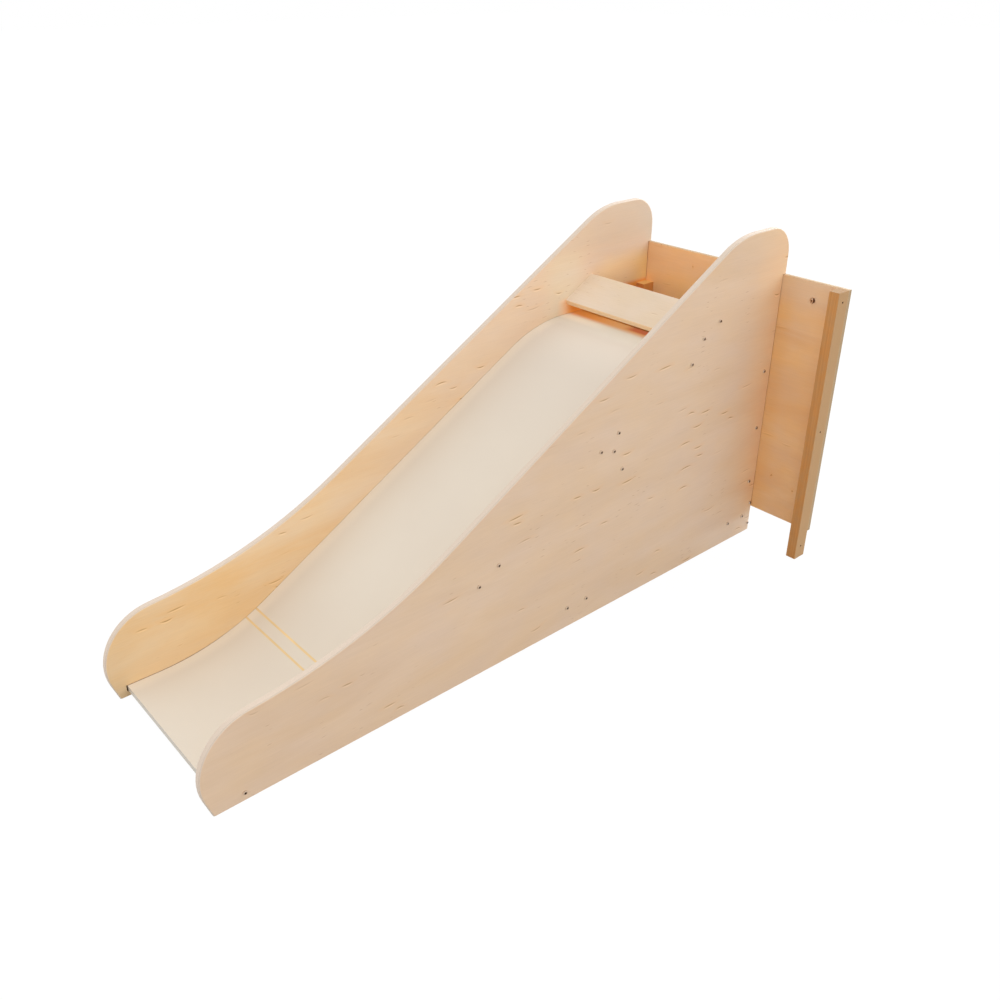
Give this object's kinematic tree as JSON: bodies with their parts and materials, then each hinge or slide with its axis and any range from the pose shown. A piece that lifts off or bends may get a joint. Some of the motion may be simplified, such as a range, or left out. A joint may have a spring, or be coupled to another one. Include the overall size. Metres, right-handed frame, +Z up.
{
  "type": "toddler slide",
  "caption": "Low birch plywood slide: two shaped side panels joined by cross boards, a thin bent sheet to slide on, and a back panel with battens that bolts to a play platform.",
  "frame": {"origin": "on the floor, under the middle of the whole slide, bolts included", "axes": "+X towards the high end, along the slide; +Y across it, to the left of someone who stands at the foot and looks at the high end; +Z up"},
  "size_m": [1.8768, 0.906, 0.936],
  "materials": {
    "side_plywood": "birch plywood, clear satin varnish",
    "board_plywood": "birch plywood, clear satin varnish",
    "back_plywood": "birch plywood, warm-toned clear satin varnish",
    "batten_wood": "planed pine, clear oil",
    "slide_laminate": "smooth satin laminate, warm off-white",
    "inlay_wood": "sanded flush, clear varnish",
    "dowel_wood": "plain beech",
    "plated_steel": "bright zinc plate",
    "screw_steel": "yellow zinc plate"
  },
  "bodies": {
    "root": {"side_panel_left": "side_plywood", "side_panel_right": "side_plywood", "top_board": "board_plywood", "mid_beam_flange": "board_plywood", "mid_beam_web": "board_plywood", "lower_cross_board": "board_plywood", "bottom_rail": "board_plywood", "rear_rail_upright": "board_plywood", "rear_rail_flat": "board_plywood", "upper_deck_strip": "board_plywood", "front_deck_strip": "board_plywood", "slide_core": "board_plywood", "back_panel": "back_plywood", "corner_batten_left": "batten_wood", "corner_batten_right": "batten_wood", "wing_batten_left": "batten_wood", "wing_batten_right": "batten_wood", "slide_laminate": "slide_laminate", "slide_inlay_strips": "inlay_wood", "strip_dowels_left": "dowel_wood", "strip_dowels_right": "dowel_wood", "board_bolts_left": "plated_steel", "board_bolts_right": "plated_steel", "batten_bolts_left": "plated_steel", "batten_bolts_right": "plated_steel", "platform_bolts": "plated_steel", "platform_washers": "plated_steel", "barrel_nuts_left": "plated_steel", "barrel_nuts_right": "plated_steel", "insert_nuts_left": "plated_steel", "insert_nuts_right": "plated_steel", "mid_beam_screws": "screw_steel", "rear_rail_screws": "screw_steel", "corner_screws_left": "screw_steel", "corner_screws_right": "screw_steel", "wing_screws_left": "screw_steel", "wing_screws_right": "screw_steel"}
  },
  "joints": []
}
